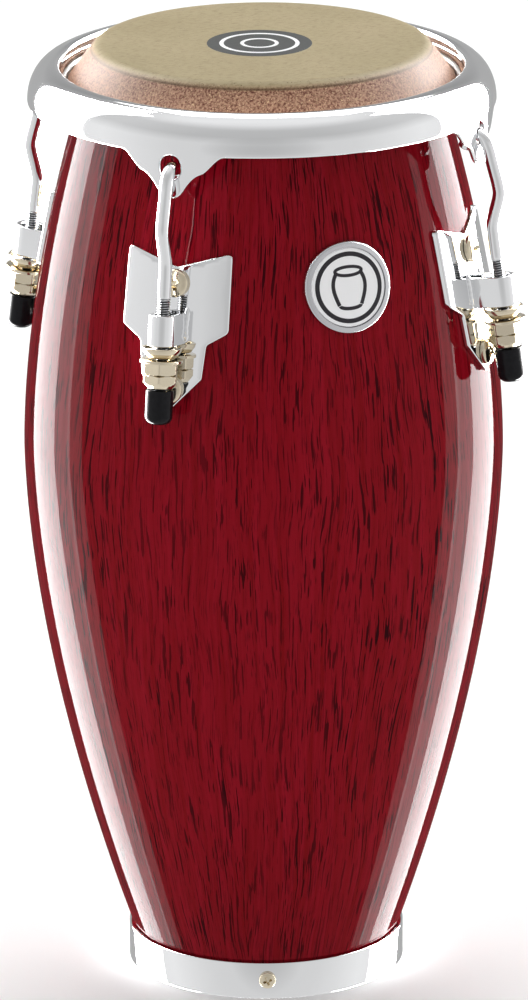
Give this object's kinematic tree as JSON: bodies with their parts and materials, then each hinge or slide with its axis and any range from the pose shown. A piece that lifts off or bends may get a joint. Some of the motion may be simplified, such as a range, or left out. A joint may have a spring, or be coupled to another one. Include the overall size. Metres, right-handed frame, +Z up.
{
  "type": "mini conga drum",
  "caption": "Small barrel-shaped hand drum: wooden stave shell, hide head on a hoop under a pressed metal rim, hooked tuning rods on side plates, metal ring round the open foot.",
  "frame": {"origin": "on the floor, on the drum's axis, in the plane of the bottom ring's underside", "axes": "+Z up along the drum's axis to the head; -Y is the front, where the badge is; +X is to the right seen from the front"},
  "size_m": [0.1402, 0.1402, 0.28],
  "materials": {
    "lacquered_wood": "cherry red stain under gloss lacquer, fine dark pores",
    "chrome": "mirror chrome plate",
    "nickel": "warm nickel plate, soft gloss",
    "hide": "natural hide, mottled and fibrous",
    "hoop_steel": "plain steel wire",
    "black_rubber": "smooth glossy black rubber",
    "badge_rim": "satin grey metal",
    "badge_white": "gloss white with a plain dark emblem"
  },
  "bodies": {
    "shell": {"stave_01": "lacquered_wood", "stave_02": "lacquered_wood", "stave_03": "lacquered_wood", "stave_04": "lacquered_wood", "stave_05": "lacquered_wood", "stave_06": "lacquered_wood", "stave_07": "lacquered_wood", "stave_08": "lacquered_wood", "stave_09": "lacquered_wood", "stave_10": "lacquered_wood", "stave_11": "lacquered_wood", "stave_12": "lacquered_wood", "bottom_ring": "chrome", "ring_screw_1": "nickel", "ring_screw_2": "nickel", "ring_screw_3": "nickel", "skin_batter": "hide", "side_plate_front_left": "chrome", "bracket_front_left": "chrome", "cup_washer_front_left": "nickel", "upper_screw_front_left": "nickel", "lower_screw_front_left": "nickel", "side_plate_front_right": "chrome", "bracket_front_right": "chrome", "cup_washer_front_right": "nickel", "upper_screw_front_right": "nickel", "lower_screw_front_right": "nickel", "side_plate_back_right": "chrome", "bracket_back_right": "chrome", "cup_washer_back_right": "nickel", "upper_screw_back_right": "nickel", "lower_screw_back_right": "nickel", "side_plate_back_left": "chrome", "bracket_back_left": "chrome", "cup_washer_back_left": "nickel", "upper_screw_back_left": "nickel", "lower_screw_back_left": "nickel", "badge_bezel": "badge_rim", "badge_face": "badge_white"},
    "rim": {"rim": "chrome", "flesh_hoop": "hoop_steel", "skin_tuck": "hide", "skin_collar": "hide"},
    "rod_front_left": {"hook_rod_front_left": "chrome", "end_cap_front_left": "black_rubber"},
    "nuts_front_left": {"tuning_nut_front_left": "nickel", "lock_nut_front_left": "nickel"},
    "rod_front_right": {"hook_rod_front_right": "chrome", "end_cap_front_right": "black_rubber"},
    "nuts_front_right": {"tuning_nut_front_right": "nickel", "lock_nut_front_right": "nickel"},
    "rod_back_right": {"hook_rod_back_right": "chrome", "end_cap_back_right": "black_rubber"},
    "nuts_back_right": {"tuning_nut_back_right": "nickel", "lock_nut_back_right": "nickel"},
    "rod_back_left": {"hook_rod_back_left": "chrome", "end_cap_back_left": "black_rubber"},
    "nuts_back_left": {"tuning_nut_back_left": "nickel", "lock_nut_back_left": "nickel"}
  },
  "joints": [
    {"name": "tuning_front_left", "type": "hinge", "parent": "shell", "child": "nuts_front_left", "pos_m": [-0.0525, -0.0525, 0.213], "axis": [0.0984, 0.0984, 0.9903], "range_deg": [0, 1440]},
    {"name": "rod_slide_front_left", "type": "slide", "parent": "shell", "child": "rod_front_left", "axis": [-0.0984, -0.0984, -0.9903], "range_m": [0, 0.0028]},
    {"name": "tuning_front_right", "type": "hinge", "parent": "shell", "child": "nuts_front_right", "pos_m": [0.0525, -0.0525, 0.213], "axis": [-0.0984, 0.0984, 0.9903], "range_deg": [0, 1440]},
    {"name": "rod_slide_front_right", "type": "slide", "parent": "shell", "child": "rod_front_right", "axis": [0.0984, -0.0984, -0.9903], "range_m": [0, 0.0028]},
    {"name": "tuning_back_right", "type": "hinge", "parent": "shell", "child": "nuts_back_right", "pos_m": [0.0525, 0.0525, 0.213], "axis": [-0.0984, -0.0984, 0.9903], "range_deg": [0, 1440]},
    {"name": "rod_slide_back_right", "type": "slide", "parent": "shell", "child": "rod_back_right", "axis": [0.0984, 0.0984, -0.9903], "range_m": [0, 0.0028]},
    {"name": "tuning_back_left", "type": "hinge", "parent": "shell", "child": "nuts_back_left", "pos_m": [-0.0525, 0.0525, 0.213], "axis": [0.0984, -0.0984, 0.9903], "range_deg": [0, 1440]},
    {"name": "rod_slide_back_left", "type": "slide", "parent": "shell", "child": "rod_back_left", "axis": [-0.0984, 0.0984, -0.9903], "range_m": [0, 0.0028]},
    {"name": "rim_slide", "type": "slide", "parent": "shell", "child": "rim", "axis": [0, 0, -1], "range_m": [0, 0.00277], "deforming": ["skin_collar"]}
  ],
  "couplings": [
    {"joint": "tuning_front_left", "follows": "rim_slide", "rad_per_m": 9064.2},
    {"joint": "rod_slide_front_left", "follows": "rim_slide", "ratio": 1.0098},
    {"joint": "tuning_front_right", "follows": "rim_slide", "rad_per_m": 9064.2},
    {"joint": "rod_slide_front_right", "follows": "rim_slide", "ratio": 1.0098},
    {"joint": "tuning_back_right", "follows": "rim_slide", "rad_per_m": 9064.2},
    {"joint": "rod_slide_back_right", "follows": "rim_slide", "ratio": 1.0098},
    {"joint": "tuning_back_left", "follows": "rim_slide", "rad_per_m": 9064.2},
    {"joint": "rod_slide_back_left", "follows": "rim_slide", "ratio": 1.0098}
  ]
}
